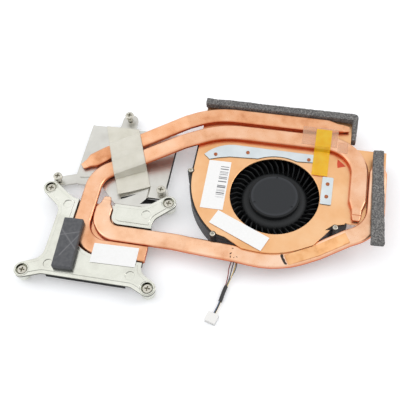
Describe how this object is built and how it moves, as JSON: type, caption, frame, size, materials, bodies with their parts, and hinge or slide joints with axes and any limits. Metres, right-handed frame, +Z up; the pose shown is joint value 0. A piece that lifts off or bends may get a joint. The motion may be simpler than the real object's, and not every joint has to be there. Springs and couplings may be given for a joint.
{
  "type": "laptop cooling fan heatsink",
  "caption": "Flat laptop cooling module: a radial blower with fin stacks, flattened copper heat pipes and sprung chip plates held by captive screws.",
  "frame": {"origin": "on the fan's axis, at the underside of the fan's floor, which lies on the table", "axes": "+X along the rear fin stack, +Y to the rear air outlet, +Z up along the fan's axis"},
  "size_m": [0.1634, 0.1166, 0.0159],
  "materials": {
    "copper_cover": "satin copper sheet",
    "copper_pipe": "drawn copper, satin",
    "copper_fins": "thin copper sheet",
    "black_plastic": "moulded, satin",
    "plated_steel": "nickel plated sheet",
    "screw_steel": "turned and plated",
    "motor_steel": "pressed sheet",
    "magnet": "bonded ferrite",
    "bearing_bronze": "sintered",
    "winding": "enamelled wire",
    "board": "coated board",
    "nylon": "moulded",
    "grey_foam": "open foam",
    "pad_rubber": "matt",
    "label_paper": "coated paper",
    "clear_film": "thin tape",
    "amber_film": "thin amber tape",
    "grey_film": "hazy film",
    "lead_skin": "extruded",
    "sleeve_skin": "shrink tube"
  },
  "bodies": {
    "module": {"fan_cover": "copper_cover", "gpu_pipe": "copper_pipe", "cpu_rear_pipe": "copper_pipe", "cpu_front_pipe": "copper_pipe", "pipe_tongue": "copper_pipe", "cpu_cold_plate": "copper_pipe", "gpu_cold_plate": "copper_pipe", "rear_fin_stack": "copper_fins", "side_fin_stack": "copper_fins", "fan_frame": "black_plastic", "cpu_bracket": "plated_steel", "bracket_bushes": "plated_steel", "gpu_plate": "plated_steel", "cover_strip": "plated_steel", "cover_clip": "plated_steel", "strip_rivets": "plated_steel", "cover_screws": "screw_steel", "stator_core": "motor_steel", "bearing_sleeve": "bearing_bronze", "stator_coils": "winding", "motor_board": "board", "thrust_washer": "nylon", "lead_connector": "nylon", "rear_foam": "grey_foam", "side_foam": "grey_foam", "bracket_pad": "pad_rubber", "barcode_label": "label_paper", "cover_label": "label_paper", "pipe_label": "label_paper", "clear_tape": "clear_film", "corner_tape": "clear_film", "amber_tape": "amber_film", "pipe_film": "grey_film", "fan_lead": "lead_skin", "lead_sleeve": "sleeve_skin"},
    "rotor": {"impeller": "black_plastic", "rotor_yoke": "motor_steel", "magnet_ring": "magnet", "rotor_shaft": "screw_steel"},
    "cpu_screw_ring_1": {"cpu_screw_ring_1": "screw_steel"},
    "cpu_screw_1": {"cpu_screw_1": "screw_steel"},
    "cpu_screw_ring_2": {"cpu_screw_ring_2": "screw_steel"},
    "cpu_screw_2": {"cpu_screw_2": "screw_steel"},
    "cpu_screw_ring_3": {"cpu_screw_ring_3": "screw_steel"},
    "cpu_screw_3": {"cpu_screw_3": "screw_steel"},
    "cpu_screw_ring_4": {"cpu_screw_ring_4": "screw_steel"},
    "cpu_screw_4": {"cpu_screw_4": "screw_steel"},
    "gpu_screw_ring_1": {"gpu_screw_ring_1": "screw_steel"},
    "gpu_screw_1": {"gpu_screw_1": "screw_steel"},
    "gpu_screw_ring_2": {"gpu_screw_ring_2": "screw_steel"},
    "gpu_screw_2": {"gpu_screw_2": "screw_steel"},
    "gpu_screw_ring_3": {"gpu_screw_ring_3": "screw_steel"},
    "gpu_screw_3": {"gpu_screw_3": "screw_steel"}
  },
  "joints": [
    {"name": "impeller_spin", "type": "hinge", "parent": "module", "child": "rotor", "pos_m": [0, 0, 0], "axis": [0, 0, 1], "continuous": true},
    {"name": "cpu_screw_1_slide", "type": "slide", "parent": "module", "child": "cpu_screw_ring_1", "axis": [0, 0, 1], "range_m": [-0.0023, 0.0003]},
    {"name": "cpu_screw_1_turn", "type": "hinge", "parent": "cpu_screw_ring_1", "child": "cpu_screw_1", "pos_m": [-0.1084, -0.0101, 0], "axis": [0, 0, 1], "continuous": true},
    {"name": "cpu_screw_2_slide", "type": "slide", "parent": "module", "child": "cpu_screw_ring_2", "axis": [0, 0, 1], "range_m": [-0.0023, 0.0003]},
    {"name": "cpu_screw_2_turn", "type": "hinge", "parent": "cpu_screw_ring_2", "child": "cpu_screw_2", "pos_m": [-0.0494, -0.0101, 0], "axis": [0, 0, 1], "continuous": true},
    {"name": "cpu_screw_3_slide", "type": "slide", "parent": "module", "child": "cpu_screw_ring_3", "axis": [0, 0, 1], "range_m": [-0.0023, 0.0003]},
    {"name": "cpu_screw_3_turn", "type": "hinge", "parent": "cpu_screw_ring_3", "child": "cpu_screw_3", "pos_m": [-0.1084, -0.0553, 0], "axis": [0, 0, 1], "continuous": true},
    {"name": "cpu_screw_4_slide", "type": "slide", "parent": "module", "child": "cpu_screw_ring_4", "axis": [0, 0, 1], "range_m": [-0.0023, 0.0003]},
    {"name": "cpu_screw_4_turn", "type": "hinge", "parent": "cpu_screw_ring_4", "child": "cpu_screw_4", "pos_m": [-0.0494, -0.0553, 0], "axis": [0, 0, 1], "continuous": true},
    {"name": "gpu_screw_1_slide", "type": "slide", "parent": "module", "child": "gpu_screw_ring_1", "axis": [0, 0, 1], "range_m": [-0.00315, 0.0011]},
    {"name": "gpu_screw_1_turn", "type": "hinge", "parent": "gpu_screw_ring_1", "child": "gpu_screw_1", "pos_m": [-0.10665, -0.004, 0], "axis": [0, 0, 1], "continuous": true},
    {"name": "gpu_screw_2_slide", "type": "slide", "parent": "module", "child": "gpu_screw_ring_2", "axis": [0, 0, 1], "range_m": [-0.00195, 0.0023]},
    {"name": "gpu_screw_2_turn", "type": "hinge", "parent": "gpu_screw_ring_2", "child": "gpu_screw_2", "pos_m": [-0.05435, -0.004, 0], "axis": [0, 0, 1], "continuous": true},
    {"name": "gpu_screw_3_slide", "type": "slide", "parent": "module", "child": "gpu_screw_ring_3", "axis": [0, 0, 1], "range_m": [-0.00315, 0.0011]},
    {"name": "gpu_screw_3_turn", "type": "hinge", "parent": "gpu_screw_ring_3", "child": "gpu_screw_3", "pos_m": [-0.0805, 0.0385, 0], "axis": [0, 0, 1], "continuous": true}
  ]
}
